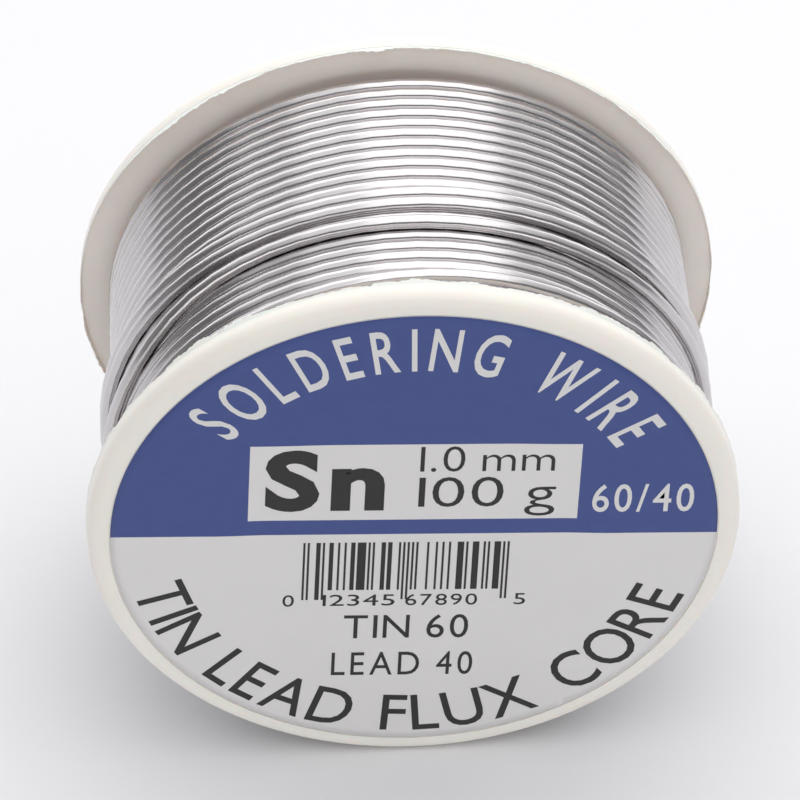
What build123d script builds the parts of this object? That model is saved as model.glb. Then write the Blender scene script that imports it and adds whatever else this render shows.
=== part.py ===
from build123d import *
import os
from math import pi, sqrt

# A spool of flux-cored solder wire, lying on the rims of its two flanges.
# The spool's axis runs along Y, the labelled end faces -Y, and +Z is up.
# The origin is on the ground, midway along the spool, right under its axis.
# All sizes are in millimetres.

# ---- wire and winding ----
wire_diameter = 1.0
wire_pitch = 1.045 * wire_diameter        # neighbouring turns lie almost in contact
winding_width = 23.5                      # clear width between the flanges
full_layers = 6
band_turns = 3                            # neighbouring turns of the unfinished top layer
band_first_turn = 9                       # counted from the labelled end
crossing_turn = 7                         # then two single turns, on the way to the front flange
last_turn = 2
core_diameter = 0.36                      # flux in the middle of the wire

# ---- spool ----
barrel_diameter = 30.6
barrel_bore = 26.6
flange_thickness = 1.5
rim_margin = 1.1                          # flange standing proud of the top turns
rim_round = 1.0                           # radius on the outer edge of each flange
sleeve_length = 6.0                       # flange sleeve that slips over the barrel
sleeve_wall = 1.0
seat_clearance = 0.05                     # between the sleeve and the barrel end
key_count = 3
key_width = 3.0
key_height = 1.2
key_clearance = 0.1
key_floor = 0.4                           # plastic left under each key notch
edge_break = 0.25                         # chamfer at the mouth of the bore

# ---- label ----
label_thickness = 0.12
label_margin = 1.6                        # plain plastic ring left around the label
label_clearance = 0.1

# ---- ends of the wire ----
start_hole_diameter = 1.3
start_hole_angle = 250.0                  # degrees round the axis, from +X towards +Z
start_tail_gap = 0.2                      # the snipped start stays this far off the bore
free_end_turn = 0                         # the free end lies this many turns from the labelled end
free_end_from = 205.0
free_end_sweep = 45.0
free_tail_length = 5.0
free_end_lift = 0.03                      # the free end lies just clear of the turns below

# ---- sizes that follow ----
layer_step = sqrt(wire_diameter**2 - (wire_pitch / 2) ** 2)
turns_per_layer = int(winding_width / wire_pitch)
barrel_radius = barrel_diameter / 2
first_layer_radius = barrel_radius + wire_diameter / 2
band_radius = first_layer_radius + full_layers * layer_step
flange_radius = band_radius + wire_diameter / 2 + rim_margin
axis_height = flange_radius
half_width = winding_width / 2
half_length = half_width + flange_thickness
barrel_end_radius = barrel_radius - sleeve_wall
key_radius = barrel_end_radius + key_height
label_radius = flange_radius - label_margin

# Profiles are drawn on this plane: its x runs along the spool, its y is the radius.
profile_plane = Plane(origin=(0, 0, axis_height), x_dir=(0, 1, 0), z_dir=(1, 0, 0))
spool_axis = Axis((0, 0, axis_height), (0, 1, 0))


def cross_plane(along):
    """A plane across the spool, facing the labelled end, at a place along the axis."""
    return Plane(origin=(0, along, axis_height), x_dir=(1, 0, 0), z_dir=(0, -1, 0))


def layer_radius(layer):
    """Radius of the wire's centre in a layer, counted from 1 at the barrel."""
    return first_layer_radius + (layer - 1) * layer_step


def turn_place(turn, layer):
    """Where a turn's centre lies along the axis; layers nest by half a pitch."""
    nest = wire_pitch / 4 if layer % 2 == 0 else -wire_pitch / 4
    return (turn - (turns_per_layer - 1) / 2) * wire_pitch + nest


def flange_blank(side):
    """Half profile of one flange: a disc with a sleeve that faces the winding."""
    disc_place = side * (half_width + flange_thickness / 2)
    bore = barrel_end_radius + seat_clearance
    with BuildSketch(profile_plane) as blank:
        with Locations((disc_place, (bore + flange_radius) / 2)):
            Rectangle(flange_thickness, flange_radius - bore)
        with Locations((side * (half_width - sleeve_length / 2), (bore + barrel_radius) / 2)):
            Rectangle(sleeve_length, barrel_radius - bore)
    return blank.sketch


def key_notches(side, floor):
    """Solids that cut the notches for the barrel's keys out of a flange disc."""
    reach = key_radius + key_clearance
    with BuildPart() as notches:
        with BuildSketch(cross_plane(side * half_length)):
            with PolarLocations(0, key_count, start_angle=90):
                with Locations((reach / 2, 0)):
                    Rectangle(reach, key_width + 2 * key_clearance)
            Circle(barrel_end_radius, mode=Mode.SUBTRACT)
        extrude(amount=side * (flange_thickness - floor))
    return notches.part


# The hole for the start of the wire goes through the front flange's sleeve and the barrel end under it.
start_plane = (Plane(origin=(0, turn_place(0, 1), axis_height), x_dir=(0, 1, 0), z_dir=(1, 0, 0))
               .rotated((0, -start_hole_angle, 0)))
with BuildPart() as start_hole:
    with BuildSketch(start_plane):
        Circle(start_hole_diameter / 2)
    extrude(amount=barrel_radius + wire_diameter)

# ---- flanges ----
with BuildPart() as front_flange:
    add(flange_blank(-1))
    revolve(axis=spool_axis)
    fillet(front_flange.edges().filter_by(GeomType.CIRCLE)
           .filter_by(lambda e: abs(e.radius - flange_radius) < 1e-4)
           .sort_by(Axis.Y)[0], rim_round)
    add(key_notches(-1, key_floor), mode=Mode.SUBTRACT)
    with BuildSketch(cross_plane(-half_length)):
        Circle(label_radius + label_clearance)
    extrude(amount=-label_thickness, mode=Mode.SUBTRACT)
    add(start_hole.part, mode=Mode.SUBTRACT)
front_flange.part.label = "front_flange"

with BuildPart() as rear_flange:
    add(flange_blank(1))
    revolve(axis=spool_axis)
    fillet(rear_flange.edges().filter_by(GeomType.CIRCLE)
           .filter_by(lambda e: abs(e.radius - flange_radius) < 1e-4)
           .sort_by(Axis.Y)[-1], rim_round)
    add(key_notches(1, key_floor), mode=Mode.SUBTRACT)
rear_flange.part.label = "rear_flange"

# ---- barrel: a tube with a seat at each end for a flange, and keys that stop it turning ----
barrel_front = -half_length + label_thickness
shoulder = half_width - sleeve_length

with BuildPart() as barrel_tube:
    with BuildSketch(profile_plane):
        with Locations(((barrel_front + half_length) / 2, (barrel_bore / 2 + barrel_end_radius) / 2)):
            Rectangle(half_length - barrel_front, barrel_end_radius - barrel_bore / 2)
        with Locations((0, (barrel_bore / 2 + barrel_radius) / 2)):
            Rectangle(2 * shoulder, barrel_radius - barrel_bore / 2)
    revolve(axis=spool_axis)
    for end_plane, depth in ((cross_plane(barrel_front), flange_thickness - label_thickness),
                             (cross_plane(half_length), flange_thickness)):
        inward = -1 if end_plane.origin.Y < 0 else 1
        with BuildSketch(end_plane):
            with PolarLocations(0, key_count, start_angle=90):
                with Locations(((barrel_bore / 2 + key_radius) / 2, 0)):
                    Rectangle(key_radius - barrel_bore / 2, key_width)
            Circle((barrel_bore / 2 + barrel_end_radius) / 2, mode=Mode.SUBTRACT)
        extrude(amount=inward * (depth - key_floor - key_clearance))
    chamfer(barrel_tube.edges().filter_by(GeomType.CIRCLE)
            .filter_by(lambda e: abs(e.radius - barrel_bore / 2) < 1e-4)
            .sort_by(Axis.Y)[-1], edge_break)
    add(start_hole.part, mode=Mode.SUBTRACT)
barrel_tube.part.label = "barrel_tube"

# ---- label: a paper disc in the shallow recess of the front flange ----
with BuildPart() as front_label:
    with BuildSketch(cross_plane(barrel_front)):
        Circle(label_radius)
    extrude(amount=label_thickness)
front_label.part.label = "front_label"


# ---- winding: each layer of turns is one closed sleeve, ridged where it shows ----
def sleeve(layer, from_place, to_place, ridged_turns, flat_spans=()):
    """A layer as a sleeve, with a round ridge over each of the given turns."""
    centre = layer_radius(layer)
    inner = centre - layer_step / 2 if layer > 1 else barrel_radius
    width = to_place - from_place
    middle = (from_place + to_place) / 2
    with BuildPart() as body:
        with BuildSketch(profile_plane):
            with Locations([(turn_place(turn, layer), centre) for turn in ridged_turns]):
                Circle(wire_diameter / 2)
            with Locations((middle, (inner + centre) / 2)):
                Rectangle(width, centre - inner)
            for flat_from, flat_to in flat_spans:
                with Locations(((flat_from + flat_to) / 2, centre + layer_step / 4)):
                    Rectangle(flat_to - flat_from, layer_step / 2)
            with Locations((middle, inner + wire_diameter)):
                Rectangle(width, 2 * wire_diameter, mode=Mode.INTERSECT)
        revolve(axis=spool_axis)
    return body.part


whole_width = (-half_width, half_width)
wire_layers = []
for layer in range(1, full_layers):
    buried = sleeve(layer, *whole_width, ridged_turns=[], flat_spans=[whole_width])
    buried.label = f"wire_layer_{layer}"
    wire_layers.append(buried)

# The turns on top: each run of them lies on a flat stretch of the layer below.
top = full_layers + 1
top_runs = {
    "wire_top_band": (band_first_turn, band_turns),
    "wire_crossing_turn": (crossing_turn, 1),
    "wire_last_turn": (last_turn, 1),
}
run_spans = {
    name: (turn_place(first, top) - wire_pitch / 2, turn_place(first + count - 1, top) + wire_pitch / 2)
    for name, (first, count) in top_runs.items()
}


def lies_bare(turn):
    """Whether a turn of the last full layer has no raised turn on it."""
    place = turn_place(turn, full_layers)
    room = wire_diameter / 2
    return not any(low - room < place < high + room for low, high in run_spans.values())


bare_turns = [turn for turn in range(turns_per_layer) if lies_bare(turn)]
outer_layer = sleeve(full_layers, *whole_width, ridged_turns=bare_turns, flat_spans=run_spans.values())
outer_layer.label = f"wire_layer_{full_layers}"
wire_layers.append(outer_layer)

top_turns = []
for name, (first, count) in top_runs.items():
    run = sleeve(top, *run_spans[name], ridged_turns=range(first, first + count))
    run.label = name
    top_turns.append(run)

# ---- ends of the wire, each with its flux core ----
start_tail_foot = barrel_bore / 2 + start_tail_gap
start_tail_top = sqrt(barrel_radius**2 - (wire_diameter / 2) ** 2)
with BuildPart() as wire_start_tail:
    with BuildSketch(start_plane.offset(start_tail_foot)):
        Circle(wire_diameter / 2)
        Circle(core_diameter / 2, mode=Mode.SUBTRACT)
    extrude(amount=start_tail_top - start_tail_foot)
wire_start_tail.part.label = "wire_start_tail"

free_end_plane = cross_plane(turn_place(free_end_turn, top))
with BuildLine(free_end_plane) as free_path:
    lying = CenterArc((0, 0), band_radius + free_end_lift, free_end_from, free_end_sweep)
    Line(lying @ 1, (lying @ 1) + free_tail_length * (lying % 1))
free_end_start = Plane(origin=free_path.line @ 0, z_dir=free_path.line % 0)

with BuildPart() as wire_free_end:
    with BuildSketch(free_end_start):
        Circle(wire_diameter / 2)
        Circle(core_diameter / 2, mode=Mode.SUBTRACT)
    sweep(path=free_path.line)
wire_free_end.part.label = "wire_free_end"

with BuildPart() as flux_core:
    with BuildSketch(start_plane.offset(start_tail_foot)):
        Circle(core_diameter / 2)
    extrude(amount=start_tail_top - start_tail_foot)
    with BuildSketch(free_end_start):
        Circle(core_diameter / 2)
    sweep(path=free_path.line)
flux_core.part.label = "flux_core"

# ---- write one file per piece ----
pieces = [
    front_flange.part, rear_flange.part, barrel_tube.part, front_label.part,
    *wire_layers, *top_turns, wire_start_tail.part, wire_free_end.part, flux_core.part,
]
os.makedirs("parts", exist_ok=True)
for piece in pieces:
    export_step(piece, f"parts/{piece.label}.step")

turns_length = sum(2 * pi * layer_radius(layer) * turns_per_layer for layer in range(1, full_layers + 1))
end_length = sum(edge.length for edge in free_path.line.edges())
raised_length = 2 * pi * band_radius * sum(count for _, count in top_runs.values())
wire_length = (turns_length + raised_length + end_length) / 1000
print(f"flange diameter {2 * flange_radius:.2f}, length {2 * half_length:.2f}, wire {wire_length:.2f} m")
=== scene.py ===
# %% [markdown]
# # A spool of solder wire
# A hundred grams of flux-cored solder comes on a small white plastic spool: two thin flanges on a wide
# hollow barrel, one of them closed with a round printed label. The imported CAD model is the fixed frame. The
# sizes of the spool and the wire are measured on it first, so what is made here fits the parts.

# %% Load the frame
from math import atan2, cos, degrees, hypot, pi, radians, sin, sqrt, tau

import bmesh
import bpy
from mathutils import Matrix, Vector, noise


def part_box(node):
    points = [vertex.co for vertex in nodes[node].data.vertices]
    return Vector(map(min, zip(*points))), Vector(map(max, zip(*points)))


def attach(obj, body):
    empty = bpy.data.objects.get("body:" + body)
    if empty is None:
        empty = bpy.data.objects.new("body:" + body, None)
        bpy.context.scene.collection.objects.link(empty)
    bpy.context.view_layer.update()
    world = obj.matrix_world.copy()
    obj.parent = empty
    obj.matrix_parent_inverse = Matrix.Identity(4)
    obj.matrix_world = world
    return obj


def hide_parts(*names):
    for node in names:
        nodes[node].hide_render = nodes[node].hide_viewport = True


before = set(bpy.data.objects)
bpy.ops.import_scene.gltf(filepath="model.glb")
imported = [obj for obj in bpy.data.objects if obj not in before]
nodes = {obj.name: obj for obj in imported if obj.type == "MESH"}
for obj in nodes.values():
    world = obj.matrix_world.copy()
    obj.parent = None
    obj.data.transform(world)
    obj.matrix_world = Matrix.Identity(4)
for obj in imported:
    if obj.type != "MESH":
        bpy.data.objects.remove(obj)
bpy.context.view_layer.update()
MM = 0.001
print(f"{len(nodes)} parts in the frame")

# %% [markdown]
# ## Sizes read off the spool
# The spool's axis runs along Y, so a flange's width in X is its diameter, and half its height is where the
# axis lies. The wire's thickness is the width of its straight free end, and two buried layers give the step
# from one layer to the next.

# %% Measure the spool, the wire and the winding


def reach(node):
    """How far a round node reaches from the spool's axis."""
    low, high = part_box(node)
    return (high.x - low.x) / 2


flange_low, flange_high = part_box("front_flange")
flange_radius = reach("front_flange")
axis_height = (flange_low.z + flange_high.z) / 2
label_low, label_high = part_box("front_label")
label_face, paper_thickness = label_low.y, label_high.y - label_low.y
label_radius = reach("front_label")
barrel_radius = reach("barrel_tube")
winding_from, winding_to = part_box("wire_layer_1")[0].y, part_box("wire_layer_1")[1].y
free_low, free_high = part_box("wire_free_end")
wire_thickness = free_high.y - free_low.y
layer_step = reach("wire_layer_2") - reach("wire_layer_1")
wire_pitch = 2 * sqrt(wire_thickness**2 - layer_step**2)
turns_per_layer = int((winding_to - winding_from) / wire_pitch)
full_layers = sum(name.startswith("wire_layer_") for name in nodes)
first_layer_radius = barrel_radius + wire_thickness / 2
band_radius = first_layer_radius + full_layers * layer_step
print(f"flange radius {flange_radius / MM:.2f} mm, wire {wire_thickness / MM:.2f} mm at a pitch of "
      f"{wire_pitch / MM:.3f} mm, {full_layers} layers of {turns_per_layer} turns")

# %% [markdown]
# ## The camera
# The spool is seen from in front and above, with a long lens that flattens it, and turned a little to one
# side. It looks at the upper part of the label.

# %% Place the camera
view_elevation = radians(45.26)
view_turn = radians(2.52)                 # the camera stands a little left of the spool's axis
view_roll = radians(-0.5)
view_distance = 0.4704
look_at = Vector((-0.91 * MM, label_face, axis_height + 13.06 * MM))
camera_data = bpy.data.cameras.new("camera")
camera_data.lens = 313.9
camera_data.sensor_width = 36.0
camera_data.clip_start = 10 * MM
camera = bpy.data.objects.new("camera", camera_data)
bpy.context.scene.collection.objects.link(camera)
level = cos(view_elevation)
forward = Vector((sin(view_turn) * level, cos(view_turn) * level, -sin(view_elevation)))
camera.location = look_at - forward * view_distance
aim = forward.to_track_quat("-Z", "Y").to_matrix() @ Matrix.Rotation(view_roll, 3, "Z")
camera.rotation_euler = aim.to_euler()
bpy.context.scene.camera = camera
print(f"camera {camera.location.z / MM:.0f} mm above the table")

# %% [markdown]
# ## Shared effects for the materials
# Plastic, paper and metal all have a surface that is not quite even. One group makes a slow mottling of
# brightness, and another makes fine grain for the bump. Each material sets them to its own values.

# %% Helpers for nodes and groups


def new_node(tree, kind, **settings):
    """A node with its settings."""
    made = tree.nodes.new(kind)
    for key, value in settings.items():
        setattr(made, key, value)
    return made


def make_group(name, inputs, outputs):
    """An empty node group with float or colour sockets, and its two end nodes."""
    group = bpy.data.node_groups.new(name, "ShaderNodeTree")
    for socket, kind, value in inputs:
        made = group.interface.new_socket(socket, in_out="INPUT", socket_type=kind)
        made.default_value = value
    for socket, kind in outputs:
        group.interface.new_socket(socket, in_out="OUTPUT", socket_type=kind)
    return group, group.nodes.new("NodeGroupInput"), group.nodes.new("NodeGroupOutput")


print("two helpers for nodes and groups")

# %% Build the two shared groups


def build_mottle():
    """Slow changes of shade: a base colour between a light and a dark tone."""
    group, start, end = make_group(
        "mottle",
        [("Light", "NodeSocketColor", (1, 1, 1, 1)), ("Dark", "NodeSocketColor", (0, 0, 0, 1)),
         ("Scale", "NodeSocketFloat", 100.0), ("Contrast", "NodeSocketFloat", 1.0)],
        [("Color", "NodeSocketColor"), ("Mask", "NodeSocketFloat")])
    place = group.nodes.new("ShaderNodeTexCoord")
    clouds = new_node(group, "ShaderNodeTexNoise")
    clouds.inputs["Detail"].default_value = 5.0
    spread = new_node(group, "ShaderNodeMath", operation="MULTIPLY_ADD", use_clamp=True)
    shift = new_node(group, "ShaderNodeMath", operation="SUBTRACT")
    shift.inputs[1].default_value = 0.5
    spread.inputs[2].default_value = 0.5
    mix = new_node(group, "ShaderNodeMix", data_type="RGBA")
    link = group.links.new
    link(place.outputs["Object"], clouds.inputs["Vector"])
    link(start.outputs["Scale"], clouds.inputs["Scale"])
    link(clouds.outputs["Fac"], shift.inputs[0])
    link(shift.outputs[0], spread.inputs[0])
    link(start.outputs["Contrast"], spread.inputs[1])
    link(spread.outputs[0], mix.inputs["Factor"])
    link(start.outputs["Dark"], mix.inputs[6])
    link(start.outputs["Light"], mix.inputs[7])
    link(mix.outputs[2], end.inputs["Color"])
    link(spread.outputs[0], end.inputs["Mask"])
    return group


def build_grain():
    """Fine relief as a height, and the roughness that goes with it."""
    group, start, end = make_group(
        "grain",
        [("Scale", "NodeSocketFloat", 2000.0), ("Roughness", "NodeSocketFloat", 0.4),
         ("Variation", "NodeSocketFloat", 0.1)],
        [("Height", "NodeSocketFloat"), ("Roughness", "NodeSocketFloat")])
    place = group.nodes.new("ShaderNodeTexCoord")
    fine = new_node(group, "ShaderNodeTexNoise")
    fine.inputs["Detail"].default_value = 3.0
    centred = new_node(group, "ShaderNodeMath", operation="SUBTRACT")
    centred.inputs[1].default_value = 0.5
    rough = new_node(group, "ShaderNodeMath", operation="MULTIPLY_ADD", use_clamp=True)
    link = group.links.new
    link(place.outputs["Object"], fine.inputs["Vector"])
    link(start.outputs["Scale"], fine.inputs["Scale"])
    link(fine.outputs["Fac"], end.inputs["Height"])
    link(fine.outputs["Fac"], centred.inputs[0])
    link(centred.outputs[0], rough.inputs[0])
    link(start.outputs["Variation"], rough.inputs[1])
    link(start.outputs["Roughness"], rough.inputs[2])
    link(rough.outputs[0], end.inputs["Roughness"])
    return group


mottle_group, grain_group = build_mottle(), build_grain()
print(f"groups {mottle_group.name} and {grain_group.name}")

# %% A material from the two groups


def finish(name, light, dark, shade_scale, contrast, grain_scale, roughness, variation, relief, **shader):
    """A material of the two shared effects; shader holds the Principled node's plain values."""
    material = bpy.data.materials.new(name)
    material.use_nodes = True
    tree = material.node_tree
    principled = tree.nodes["Principled BSDF"]
    for socket, value in shader.items():
        principled.inputs[socket.replace("_", " ")].default_value = value
    mottle = new_node(tree, "ShaderNodeGroup", node_tree=mottle_group)
    mottle.inputs["Light"].default_value = (*light, 1)
    mottle.inputs["Dark"].default_value = (*dark, 1)
    mottle.inputs["Scale"].default_value = shade_scale
    mottle.inputs["Contrast"].default_value = contrast
    grain = new_node(tree, "ShaderNodeGroup", node_tree=grain_group)
    grain.inputs["Scale"].default_value = grain_scale
    grain.inputs["Roughness"].default_value = roughness
    grain.inputs["Variation"].default_value = variation
    bump = new_node(tree, "ShaderNodeBump")
    bump.inputs["Strength"].default_value = 0.5
    bump.inputs["Distance"].default_value = relief
    tree.links.new(mottle.outputs["Color"], principled.inputs["Base Color"])
    tree.links.new(grain.outputs["Roughness"], principled.inputs["Roughness"])
    tree.links.new(grain.outputs["Height"], bump.inputs["Height"])
    tree.links.new(bump.outputs["Normal"], principled.inputs["Normal"])
    return material


def dress(obj, *materials):
    """Gives an object these materials in place of its own, and keeps which face has which."""
    slots = obj.data.materials
    for index, material in enumerate(materials):
        if index < len(slots):
            slots[index] = material
        else:
            slots.append(material)


print("a material needs two tones, two scales, a roughness and a relief")
# %% [markdown]
# ## The finishes
# The flanges are white styrene that lets a little light in, so a small subsurface share softens their edges.
# Solder is a bright soft metal with a fine drawn surface. The label is smooth coated paper, printed in one
# blue and one black.

# %% Make the materials
spool_plastic = finish("spool_plastic", (0.97, 0.935, 0.870), (0.94, 0.895, 0.820), 160, 0.9, 1400, 0.34,
                       0.15, 0.00002, Subsurface_Weight=0.25, Subsurface_Scale=0.0012, IOR=1.5)
barrel_plastic = finish("barrel_plastic", (0.88, 0.86, 0.82), (0.80, 0.77, 0.71), 130, 1.0, 1200, 0.42, 0.2,
                        0.00003, Subsurface_Weight=0.25, Subsurface_Scale=0.0012, IOR=1.5)
solder = finish("solder", (0.68, 0.66, 0.665), (0.60, 0.58, 0.585), 420, 1.2, 2600, 0.20, 0.10, 0.000002,
                Metallic=1.0)
label_paper = finish("label_paper", (0.80, 0.785, 0.78), (0.765, 0.75, 0.745), 230, 1.2, 3200, 0.5, 0.12,
                     0.000008, IOR=1.48)
label_blue = finish("label_blue", (0.050, 0.083, 0.285), (0.043, 0.073, 0.258), 900, 1.6, 3200, 0.46, 0.14,
                    0.000008, IOR=1.48)
print_black = finish("print_black", (0.018, 0.017, 0.018), (0.012, 0.011, 0.012), 900, 1.0, 3200, 0.45, 0.1,
                     0.000005, IOR=1.48)
print_white = finish("print_white", (0.79, 0.78, 0.775), (0.74, 0.73, 0.73), 900, 1.0, 3200, 0.5, 0.1,
                     0.000005, IOR=1.48)
flux_amber = finish("flux_amber", (0.66, 0.40, 0.10), (0.50, 0.27, 0.05), 2600, 1.5, 5200, 0.2, 0.1,
                    0.000008, IOR=1.54)
for part, material in (("front_flange", spool_plastic), ("rear_flange", spool_plastic),
                       ("barrel_tube", barrel_plastic), ("flux_core", flux_amber)):
    dress(nodes[part], material)
    print(f"{part} is {material.name}")

# %% [markdown]
# ## The wire
# The winding is one length of wire, and it shows: the turns lie in rows, rise onto each other and cross. So
# the wire is one curve of its real length, worked out turn by turn. It starts in the barrel's hole, fills six
# layers that nest in one another, runs back under the spool, makes the raised band, and slants over to the
# front where it ends. A round bevel gives it its thickness.
#
# A NURBS curve of order 3 cuts inside its points, by an amount that depends on how many there are in a turn,
# so the points are set that much further out. Buried layers get fewer points than the ones that show.

# %% Helpers for the route of the wire
SHOWN, BURIED = 30, 14                    # points in a turn
route = []


def inset(points_in_turn):
    """How much nearer to the axis the curve runs than its points do."""
    half = pi / points_in_turn
    return (cos(half) + (3 + cos(2 * half)) / 4) / 2


def unsteady(angle, seed, size):
    """A small smooth wander, as wire has that was laid by machine."""
    return size * noise.noise(Vector((0.9 * angle, seed, 0.0)))


def lay(angle, along, radius, density):
    """Adds a point of the wire at an angle round the axis, from +X towards +Z."""
    out = radius / inset(density)
    route.append((out * cos(angle), along, axis_height + out * sin(angle)))


def turn_place(turn, layer):
    """Where a turn's centre lies along the axis."""
    nest = wire_pitch / 4 if layer % 2 == 0 else -wire_pitch / 4
    middle = (winding_from + winding_to) / 2
    return middle + (turn - (turns_per_layer - 1) / 2) * wire_pitch + nest


def turns(count, density):
    """Steps of a winding, as shares of a turn from 0 up to count."""
    return [step / density for step in range(int(count * density))]


def smooth(share):
    """Eases from 0 to 1."""
    share = min(1.0, max(0.0, share))
    return share * share * (3 - 2 * share)


print(f"points are set out by {1 / inset(SHOWN) - 1:.2%} in a turn that shows, "
      f"and by {1 / inset(BURIED) - 1:.2%} in a buried one")

# %% Wind the full layers
angle = radians(250)                      # where the hole in the barrel is
tail_foot = 1.2 * MM                      # the snipped start inside that hole
outer_ends_early = 60 / 360               # the sixth layer stops this part of a turn before its last is full
outer_shift = -0.25 * MM                  # and lies this much nearer to the label than its furrows do
for depth in (tail_foot, 0.0):
    inside = barrel_radius - depth
    route.append((inside * cos(angle), turn_place(0, 1), axis_height + inside * sin(angle)))
for layer in range(1, full_layers + 1):
    outer = layer == full_layers
    density = SHOWN if outer else BURIED
    radius = first_layer_radius + (layer - 1) * layer_step
    first, last = (0, turns_per_layer - 1) if layer % 2 == 1 else (turns_per_layer - 1, 0)
    count = turns_per_layer - outer_ends_early if outer else turns_per_layer
    layer_from, layer_to = turn_place(first, layer), turn_place(last, layer)
    for wound in turns(count, density):
        place = layer_from + (layer_to - layer_from) * wound / count
        here = angle + wound * tau
        if outer:
            place += unsteady(here, 3.0, 0.04 * MM) + outer_shift
        lay(here, place, radius + (unsteady(here, 7.0, 0.05 * MM) if outer else 0), density)
    angle += count * tau
print(f"{full_layers} layers laid with {len(route)} points, up to {degrees(angle % tau):.0f} degrees")

# %% [markdown]
# From the front flange the wire runs back under the spool to where the raised turns start. Two of them lie
# side by side, then one slants off on its own, and the last one ends at the front flange under the spool.
# Their way is a list of places along the axis in millimetres, each at so many degrees round from the start.
# In every turn the wire keeps to the furrow below it and then hops over into the next, which is why the
# places come in small steps.

# %% The way of the raised turns
free_place = (free_low.y + free_high.y) / 2
course = [(0, -0.3), (50, -0.7), (80, -1.2), (120, -1.4), (190, -1.3), (370, -1.5), (410, -1.7),
          (440, -2.2), (480, -2.4), (550, -2.3), (730, -2.9), (780, -3.7), (800, -4.0), (860, -4.3),
          (880, -5.3), (905, -6.0), (1090, -8.5), (1140, -9.0), (1175, -9.3), (1220, -10.1), (1250, -10.9),
          (1295, free_place / MM)]


def place_on_course(at):
    """The place along the axis at so many degrees, in a smooth line through the listed ones."""
    last = len(course) - 1
    after = next((index for index, (mark, _) in enumerate(course) if mark > at), last)
    (mark_0, place_0), (mark_1, place_1) = course[max(0, after - 2)], course[after - 1]
    (mark_2, place_2), (mark_3, place_3) = course[after], course[min(last, after + 1)]
    slope_1 = (place_2 - place_0) / (mark_2 - mark_0)
    slope_2 = (place_3 - place_1) / (mark_3 - mark_1)
    span = mark_2 - mark_1
    t = min(1.0, (at - mark_1) / span)
    return MM * ((2 * t**3 - 3 * t**2 + 1) * place_1 + (t**3 - 2 * t**2 + t) * span * slope_1
                 + (3 * t**2 - 2 * t**3) * place_2 + (t**3 - t**2) * span * slope_2)


print(f"the raised turns go {course[-1][0] / 360:.1f} times round")

# %% [markdown]
# The run back climbs onto the sixth layer and crosses over to where the raised turns start. A raised turn
# that crosses it is lifted over it by as much as two round wires need.

# %% Lay the run back and the raised turns
return_start, return_sweep = angle, radians(160)
return_from, return_to = route[-1][1], place_on_course(0)
for wound in turns(return_sweep / tau, SHOWN):
    share = wound * tau / return_sweep
    lay(angle + wound * tau, return_from + (return_to - return_from) * smooth(share),
        band_radius - layer_step * (1 - smooth(5 * share)), SHOWN)
angle += return_sweep


def crossing_lift(here, along):
    """How far a turn rises where it passes over the run back."""
    share = ((here - return_start) % tau) / return_sweep
    if share > 1:
        return 0.0
    gap = abs(along - return_from - (return_to - return_from) * smooth(share))
    return sqrt(max(0.0, wire_thickness**2 - gap**2)) if gap < wire_thickness else 0.0


course_end = course[-1][0]
settle_over = 60                          # degrees before the end in which the wire stops wandering
clear_of_start = 0.6                      # turns after which the wire can meet the run back
free_lift = 0.03 * MM
for wound in turns(course_end / 360, SHOWN):
    here = angle + wound * tau
    place = place_on_course(wound * 360)
    lift = crossing_lift(here, place) if wound > clear_of_start else 0.0
    settled = smooth(1 - (course_end - wound * 360) / settle_over)
    lay(here, place + unsteady(here, 11.0, 0.04 * MM) * (1 - settled),
        band_radius + lift + unsteady(here, 5.0, 0.05 * MM) * (1 - settled) + free_lift * settled, SHOWN)
angle += radians(course_end)
print(f"the free end starts at {degrees(angle % tau):.0f} degrees")

# %% [markdown]
# The free end follows the winding for an eighth of a turn and then runs off straight, cut with snips.

# %% Lay the free end
free_radius, free_sweep, free_tail = band_radius + free_lift, radians(45), 5.0 * MM
free_steps = 5
for step in range(free_steps + 1):
    lay(angle + free_sweep * step / free_steps, free_place, free_radius, free_steps * tau / free_sweep)
end_angle = angle + free_sweep
corner = Vector((free_radius * cos(end_angle), free_place, axis_height + free_radius * sin(end_angle)))
ahead = Vector((-sin(end_angle), 0, cos(end_angle)))
for distance in (0.35, 0.7, 0.99):
    route.append(tuple(corner + ahead * free_tail * distance))
print(f"the wire ends {route[-1][2] / MM:.1f} mm above the table")

# %% [markdown]
# The curve takes the route's points as they are. A copy without thickness is made into a mesh once.

# %% Make the wire
wire_curve = bpy.data.curves.new("solder_wire", "CURVE")
wire_curve.dimensions = "3D"
spline = wire_curve.splines.new("NURBS")
spline.points.add(len(route) - 1)
for point, place in zip(spline.points, route):
    point.co = (*place, 1)
spline.order_u = 3
spline.use_endpoint_u = True
wire_curve.resolution_u = 2
wire_curve.bevel_depth = wire_thickness / 2
wire_curve.bevel_resolution = 6
wire_curve.use_fill_caps = True
wire = bpy.data.objects.new("solder_wire", wire_curve)
bpy.context.scene.collection.objects.link(wire)
dress(wire, solder)
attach(wire, "root")
wire_nodes = [name for name in nodes if name.startswith("wire_")]
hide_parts(*wire_nodes)
print(f"a wire of {len(route)} points in place of {len(wire_nodes)} parts")

# %% Make a mesh of the wire's route without thickness
bare = wire_curve.copy()
bare.bevel_depth = 0
bare_object = bpy.data.objects.new("bare_route", bare)
bare_mesh = bpy.data.meshes.new_from_object(bare_object)
bpy.data.objects.remove(bare_object)

# %% [markdown]
# ## The label
# A disc of paper covers the end of the spool. It bridges the mouth of the barrel, where it sinks in a little,
# and the ring of the barrel's edge shows through it. The disc is spun from a straight row of points, then cut
# along the lines where its colours meet, so that every edge of the print is sharp.

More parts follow.
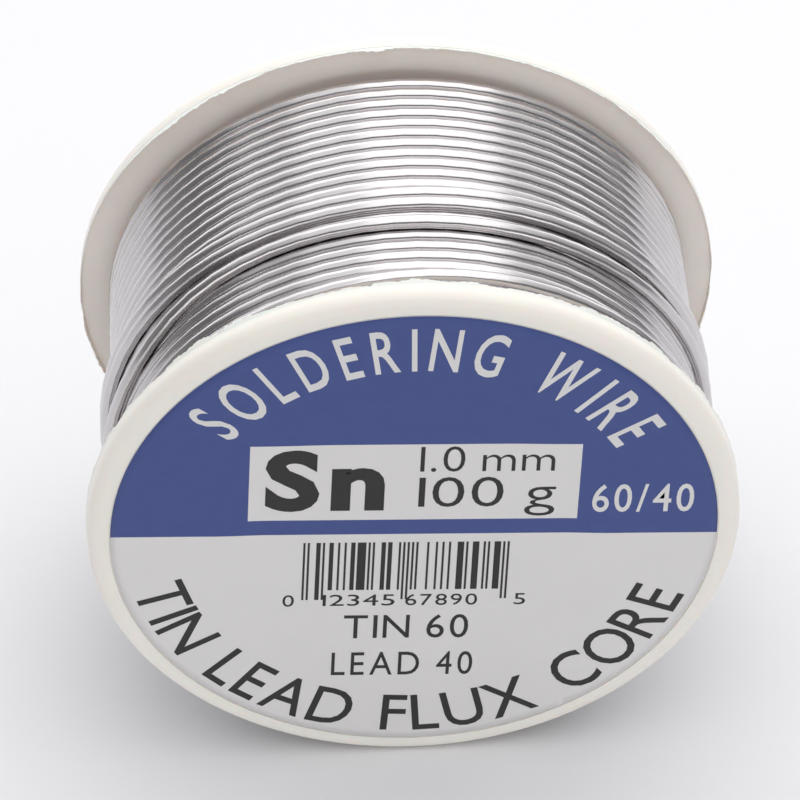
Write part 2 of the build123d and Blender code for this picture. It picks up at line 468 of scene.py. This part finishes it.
# %% Helpers for what lies on the label
label_turn = radians(2.6)                 # how far the label is stuck on askew
barrel_mouth = barrel_radius - 2.0 * MM   # the barrel's wall is 2 mm
dish_depth, dish_slope = 0.09 * MM, 3.2 * MM
ridge_height, ridge_width = 0.012 * MM, 0.7 * MM
ridge_radius = barrel_mouth + 0.5 * MM
label_centre = Vector((0, label_face, axis_height))


def dish(radius):
    """How deep the paper has sunk at a distance from the label's middle."""
    ridge = ridge_height * max(0.0, 1 - abs(radius - ridge_radius) / ridge_width)
    return dish_depth * smooth((barrel_mouth - radius) / dish_slope) - ridge


def on_label(mesh, lift=0.0):
    """Moves a mesh that was drawn flat, x across and y up, onto the face of the label."""
    askew = Matrix.Translation(label_centre) @ Matrix.Rotation(label_turn, 4, "Y")
    mesh.transform(askew @ Matrix.Rotation(pi / 2, 4, "X"))
    for vertex in mesh.vertices:
        sunk = dish(hypot(vertex.co.x, vertex.co.z - axis_height))
        vertex.co.y += sunk - lift


def add_piece(name, mesh, material_list, smooth=True):
    """Adds a finished mesh as a piece that rides on the spool."""
    made = bpy.data.objects.new(name, mesh)
    bpy.context.scene.collection.objects.link(made)
    dress(made, *material_list)
    for face in mesh.polygons:
        face.use_smooth = smooth
    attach(made, "root")
    return made


print(f"the label is stuck on {degrees(label_turn):.1f} degrees askew")

# %% Spin the paper disc and cut its colour fields
chord_height = -0.16 * MM                 # the blue field's straight lower edge
panel_left, panel_right = -11.5 * MM, 11.15 * MM
panel_low, panel_high = 1.27 * MM, 8.62 * MM
rings, spokes_round = 30, 144
bm = bmesh.new()
row = [bm.verts.new((label_radius * ring / rings, 0, 0)) for ring in range(rings + 1)]
spokes = [bm.edges.new(pair) for pair in zip(row, row[1:])]
bmesh.ops.spin(bm, geom=row + spokes, cent=(0, 0, 0), axis=(0, 0, 1), angle=tau, steps=spokes_round,
               use_merge=True)
bmesh.ops.remove_doubles(bm, verts=bm.verts, dist=1e-7)
level_cuts = [((0, height, 0), (0, 1, 0)) for height in (chord_height, panel_low, panel_high)]
upright_cuts = [((side, 0, 0), (1, 0, 0)) for side in (panel_left, panel_right)]
for point, normal in level_cuts + upright_cuts:
    bmesh.ops.bisect_plane(bm, geom=bm.verts[:] + bm.edges[:] + bm.faces[:], plane_co=point, plane_no=normal,
                           dist=1e-8)
bmesh.ops.recalc_face_normals(bm, faces=bm.faces)
for face in bm.faces:
    middle = face.calc_center_median()
    in_panel = panel_left < middle.x < panel_right and panel_low < middle.y < panel_high
    face.material_index = 1 if middle.y > chord_height and not in_panel else 0
if sum(face.normal.z for face in bm.faces) < 0:
    bmesh.ops.reverse_faces(bm, faces=bm.faces)
print(f"disc of {len(bm.faces)} faces")

# %% Give the paper its thickness and put it on the spool


def new_vertices(geometry):
    """The vertices among what a bmesh operator made."""
    return [made for made in geometry if isinstance(made, bmesh.types.BMVert)]


rim = [edge for edge in bm.edges if edge.is_boundary]
sides = bmesh.ops.extrude_edge_only(bm, edges=rim)["geom"]
bmesh.ops.translate(bm, vec=(0, 0, -paper_thickness), verts=new_vertices(sides))
for face in sides:
    if isinstance(face, bmesh.types.BMFace):
        face.material_index = 0
label_mesh = bpy.data.meshes.new("label_paper")
bm.to_mesh(label_mesh)
bm.free()
on_label(label_mesh)
label = add_piece("label_paper", label_mesh, [label_paper, label_blue])
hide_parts("front_label")
print(f"label of {len(label_mesh.polygons)} faces")

# %% [markdown]
# ## The print
# Letters come from text objects in Blender's own font, made into meshes and set one by one, straight or round
# a circle. They are thin slips of ink, a hundredth of a millimetre or so proud of the paper, with a skirt
# that reaches into it. The words only say what any such spool holds.

# %% Helpers that draw letters


def glyph(letter, size, weight=0.0):
    """One letter as a flat mesh with its lower left corner at the origin, its width and its height."""
    text = bpy.data.curves.new("letter", "FONT")
    text.body = letter
    text.size = size
    text.offset = weight
    text.resolution_u = 4
    holder = bpy.data.objects.new("letter", text)
    mesh = bpy.data.meshes.new_from_object(holder)
    bpy.data.objects.remove(holder)
    left = min(v.co.x for v in mesh.vertices)
    right = max(v.co.x for v in mesh.vertices)
    mesh.transform(Matrix.Translation((-left, 0, 0)))
    return mesh, right - left, max(v.co.y for v in mesh.vertices)


size_of_capital = 1 / glyph("H", 1.0)[2]


def set_words(words, capital, span, gap, blank, place, weight=0.0):
    """Words as one flat bmesh, with capitals of a height, drawn narrow or wide so that they fill a span."""
    size = capital * size_of_capital
    letters = [None if letter == " " else glyph(letter, size, weight) for letter in words]
    spaces = sum(letter is None for letter in letters)
    joins = len(letters) - 1 - 2 * spaces
    stretch = (span - joins * gap - spaces * blank) / sum(letter[1] for letter in letters if letter)
    sheet, run, after_blank = bmesh.new(), 0.0, True
    for letter in letters:
        if letter is None:
            run += blank
            after_blank = True
            continue
        mesh, width, _ = letter
        width *= stretch
        run += 0 if after_blank else gap
        mesh.transform(place(run + width / 2 - span / 2) @ Matrix.Translation((-width / 2, 0, 0))
                       @ Matrix.Diagonal((stretch, 1, 1, 1)))
        sheet.from_mesh(mesh)
        run += width
        after_blank = False
    return sheet


print(f"a capital of 1 mm needs a text size of {size_of_capital:.2f} mm")

# %% Helpers that place letters and make them ink
ink = 0.015 * MM
longest_edge = 0.9 * MM                   # so that the ink follows the dished paper


def ink_piece(name, sheet, material):
    """Makes a flat drawing into thin ink on the label."""
    bmesh.ops.remove_doubles(sheet, verts=sheet.verts, dist=1e-8)
    bmesh.ops.dissolve_limit(sheet, angle_limit=0.01, verts=sheet.verts, edges=sheet.edges)
    bmesh.ops.triangulate(sheet, faces=sheet.faces)
    long = [edge for edge in sheet.edges if edge.calc_length() > longest_edge]
    bmesh.ops.subdivide_edges(sheet, edges=long, cuts=2)
    bmesh.ops.triangulate(sheet, faces=sheet.faces)
    bmesh.ops.recalc_face_normals(sheet, faces=sheet.faces)
    if sum(face.normal.z for face in sheet.faces) < 0:
        bmesh.ops.reverse_faces(sheet, faces=sheet.faces)
    outline = [edge for edge in sheet.edges if edge.is_boundary]
    skirt = bmesh.ops.extrude_edge_only(sheet, edges=outline)["geom"]
    bmesh.ops.translate(sheet, vec=(0, 0, -2 * ink), verts=new_vertices(skirt))
    mesh = bpy.data.meshes.new(name)
    sheet.to_mesh(mesh)
    sheet.free()
    on_label(mesh, lift=ink)
    return add_piece(name, mesh, [material], smooth=False)


def round_circle(radius, middle_angle, upright=True):
    """Places letters along a circle, feet inwards when upright and outwards when not."""
    def place(distance):
        if upright:
            at = middle_angle - distance / radius
            return Matrix.Rotation(at - pi / 2, 4, "Z") @ Matrix.Translation((0, radius, 0))
        at = middle_angle + distance / radius
        return Matrix.Rotation(at + pi / 2, 4, "Z") @ Matrix.Translation((0, -radius, 0))
    return place


def straight(x, y):
    """Places letters on a straight line whose middle is at x, y."""
    return lambda distance: Matrix.Translation((x + distance, y, 0))


print(f"ink stands {ink / MM:.3f} mm proud")

# %% Set the words
for name, words, capital, span, gap, blank, place, weight, material in (
        ("print_top_words", "SOLDERING WIRE", 3.85, 31.2, 0.72, 2.3,
         round_circle(15.8 * MM, radians(88)), 0.06, print_white),
        ("print_bottom_words", "TIN LEAD FLUX CORE", 3.6, 51.0, 0.62, 2.6,
         round_circle(20.1 * MM, radians(268.7), upright=False), 0.02, print_black),
        ("print_symbol", "Sn", 5.3, 8.2, 0.8, 0, straight(-6.3 * MM, 2.5 * MM), 0.3, print_black),
        ("print_gauge", "1.0 mm", 2.45, 9.2, 0.45, 1.2, straight(4.75 * MM, 5.95 * MM), -0.03, print_black),
        ("print_weight", "100 g", 2.9, 9.4, 0.5, 1.5, straight(4.85 * MM, 2.5 * MM), -0.03, print_black),
        ("print_ratio", "60/40", 2.6, 7.0, 0.35, 0, straight(15.6 * MM, 2.0 * MM), 0.03, print_white),
        ("print_tin", "TIN 60", 2.3, 8.7, 0.4, 1.2, straight(-0.2 * MM, -10.62 * MM), 0, print_black),
        ("print_lead", "LEAD 40", 2.3, 9.9, 0.4, 1.2, straight(-0.35 * MM, -14.33 * MM), 0, print_black)):
    drawn = set_words(words, capital * MM, span * MM, gap * MM, blank * MM, place, weight * MM)
    ink_piece(name, drawn, material)
    print(f"{name}: {words}")

# %% [markdown]
# The bar code is the one of a made-up number. Each digit is seven units wide, drawn as two bars and two
# spaces whose widths a short list gives, so the code is right as well as real to look at.

# %% Draw the bar code
bar_unit = 0.150 * MM
bar_left, bar_top, bar_foot = -7.6 * MM, -0.98 * MM, -5.73 * MM
guard_drop = 0.97 * MM                    # the guard bars are that much longer
widths_of_digit = ("3211", "2221", "2122", "1411", "1132", "1231", "1114", "1312", "1213", "3112")
number = "012345678905"


def bar_runs():
    """Widths of spaces and bars in turn, starting with a bar, each with whether the bar is a long guard."""
    runs = [(1, True), (1, True), (1, True)]
    for place, digit in enumerate(number[:6]):
        runs += [(int(width), place == 0) for width in widths_of_digit[int(digit)]]
    runs += [(1, True)] * 5
    for digit in number[6:]:
        runs += [(int(width), False) for width in widths_of_digit[int(digit)]]
    return runs + [(1, True)] * 3


sheet = bmesh.new()
at, is_bar = 0, True
for width, is_guard in bar_runs():
    if is_bar:
        foot = bar_foot - (guard_drop if is_guard else 0)
        bar = bmesh.ops.create_grid(sheet, x_segments=1, y_segments=4, size=0.5)["verts"]
        bmesh.ops.scale(sheet, vec=(width * bar_unit, bar_top - foot, 1), verts=bar)
        middle = (bar_left + (at + width / 2) * bar_unit, (bar_top + foot) / 2, 0)
        bmesh.ops.translate(sheet, vec=middle, verts=bar)
    at += width
    is_bar = not is_bar
ink_piece("print_bar_code", sheet, print_black)
print(f"bar code {at} units wide")

# %% Set the digits under the bars
digit_height, digit_gap, digit_foot = 1.1 * MM, 0.25 * MM, -7.32 * MM
for name, words, x, span in (("print_digit_first", number[0], -8.5 * MM, 0.8 * MM),
                             ("print_digits_left", number[1:6], -3.6 * MM, 5.0 * MM),
                             ("print_digits_right", number[6:11], 2.15 * MM, 5.0 * MM),
                             ("print_digit_last", number[11], 7.6 * MM, 0.8 * MM)):
    ink_piece(name, set_words(words, digit_height, span, digit_gap, 0, straight(x, digit_foot)), print_black)
    print(f"{name}: {words}")

# %% [markdown]
# ## Moulding flash
# Where the two halves of a worn mould met, plastic crept out and tore: a thin ragged fin along the inner edge
# of each rim. It starts as a circle of points, is pulled out by an uneven amount, and gets a thin wall.

# %% Grow the flash along both rims


def ragged(angle, seed):
    """Height of the flash at an angle: torn steps, more of them in some stretches than in others."""
    standing = smooth((0.8 - sin(angle)) / 0.4)          # none where the rim stands on the table
    patch = standing * max(0.0, noise.noise(Vector((2.2 * cos(angle), 2.2 * sin(angle), seed))) + 0.55)
    step = noise.noise(Vector((round(34 * angle) * 0.37, seed, 1.0)))
    tooth = noise.noise(Vector((60 * angle, seed, 2.0)))
    return max(0.0, patch * (0.55 + 0.75 * step + 0.25 * tooth))


flash_steps, flash_root, flash_wall = 1080, 0.03 * MM, 0.06 * MM
flash_lean = 0.25                         # outwards, for each part that it reaches inwards


def flash_ring(name, along, inwards, height, seed):
    """A torn fin on the rim at one place along the axis, leaning towards the winding."""
    bm = bmesh.new()
    bmesh.ops.create_circle(bm, segments=flash_steps, radius=flange_radius - flash_root, cap_ends=False)
    grown = bmesh.ops.extrude_edge_only(bm, edges=bm.edges[:])["geom"]
    for vertex in new_vertices(grown):
        tall = flash_root + height * ragged(atan2(vertex.co.y, vertex.co.x), seed)
        outward = vertex.co.normalized()
        vertex.co += outward * flash_lean * tall
        vertex.co.z += inwards * tall
    bmesh.ops.recalc_face_normals(bm, faces=bm.faces)
    bmesh.ops.solidify(bm, geom=bm.faces[:], thickness=flash_wall)
    mesh = bpy.data.meshes.new(name)
    bm.to_mesh(mesh)
    bm.free()
    mesh.transform(Matrix.Translation((0, along, axis_height)) @ Matrix.Rotation(-pi / 2, 4, "X"))
    return add_piece(name, mesh, [spool_plastic], smooth=False)


for name, along, inwards, height, seed in (("front_flash", winding_from, 1, 0.7 * MM, 4.0),
                                           ("rear_flash", winding_to, -1, 0.8 * MM, 9.0)):
    fin = flash_ring(name, along, inwards, height, seed)
    print(f"{fin.name}: {len(fin.data.polygons)} faces")

# %% [markdown]
# ## Table, light and surroundings
# The spool stands on a large white board. Every turn of wire is a small curved mirror, so what surrounds it
# shows in it. A ceiling of soft lights hangs over it, brightest in the middle and at the back, and dims
# towards both sides. A bright sweep stands behind it and a low light behind the camera. The walls to the left
# and right are nearly dark, and the shoulders of every turn mirror them.

# %% Lay the table
board = bpy.data.meshes.new("white_board")
bm = bmesh.new()
bmesh.ops.create_grid(bm, x_segments=8, y_segments=8, size=0.5)
bmesh.ops.scale(bm, vec=(1.6, 1.3, 1), verts=bm.verts)
bmesh.ops.translate(bm, vec=(0.05, 0.35, 0), verts=bm.verts)
bm.to_mesh(board)
bm.free()
table = bpy.data.objects.new("white_board", board)
bpy.context.scene.collection.objects.link(table)
table_white = finish("table_white", (0.86, 0.86, 0.88), (0.84, 0.84, 0.865), 6, 0.6, 400, 0.5, 0.1, 0.00001)
dress(table, table_white)
print(f"table {table.dimensions.x:.2f} by {table.dimensions.y:.2f} m")

# %% Hang the lights


def soft_light(name, place, target, width, height, radiance):
    """A rectangular soft light of even brightness that looks at a point."""
    data = bpy.data.lights.new(name, "AREA")
    data.shape = "RECTANGLE"
    data.size, data.size_y = width, height
    data.energy = radiance * pi * width * height
    made = bpy.data.objects.new(name, data)
    bpy.context.scene.collection.objects.link(made)
    made.location = place
    made.rotation_euler = (Vector(target) - Vector(place)).to_track_quat("-Z", "Y").to_euler()
    return made


# Each panel of the ceiling is given as left, right, its near edge where they differ, and how bright it is.
ceiling_height = 0.55
back_ceiling = [(-0.36, 0.42, 1.66), (-0.75, -0.36, 1.10), (-1.20, -0.75, 0.65), (0.42, 0.75, 0.78),
                (0.75, 1.20, 0.50)]
front_ceiling = [(-0.10, 0.38, -0.50, 1.52), (-0.34, -0.10, -0.50, 0.85), (-0.75, -0.34, -0.40, 0.42),
                 (0.38, 0.62, -0.30, 0.55), (0.62, 1.00, -0.30, 0.30)]
panels = [(left, right, 0.26, 1.15, radiance) for left, right, radiance in back_ceiling]
panels += [(left, right, near, 0.25, radiance) for left, right, near, radiance in front_ceiling]
for left, right, near, far, radiance in panels:
    x, y = (left + right) / 2, (near + far) / 2
    below = (x, y + MM, 0)                # a hair off straight down, which settles how the panel is turned
    soft_light("ceiling", (x, y, ceiling_height), below, right - left, far - near, radiance)
soft_light("back_sweep", (0.0, 1.10, 0.28), (0.0, 0, 0.28), 3.0, 0.5, 1.40)
soft_light("right_wall", (0.95, 0.25, 0.34), (0, 0.25, 0.20), 1.3, 0.42, 0.27)
soft_light("left_wall", (-1.0, 0.25, 0.12), (0, 0.25, 0.12), 1.5, 0.24, 0.10)
soft_light("behind_camera", (0.0, -0.95, 0.17), (0, 0, 0.1), 1.5, 0.32, 1.55)
lights = [obj for obj in bpy.context.scene.objects if obj.type == "LIGHT"]
print(f"{len(lights)} soft lights")

# %% Darken the room
world = bpy.data.worlds.new("dark_room")
world.use_nodes = True
background = world.node_tree.nodes["Background"]
background.inputs["Color"].default_value = (0.98, 0.975, 1.0, 1)
background.inputs["Strength"].default_value = 0.18
bpy.context.scene.world = world
bpy.context.scene.view_settings.view_transform = "Standard"
print(f"room brightness {background.inputs['Strength'].default_value:.2f}")
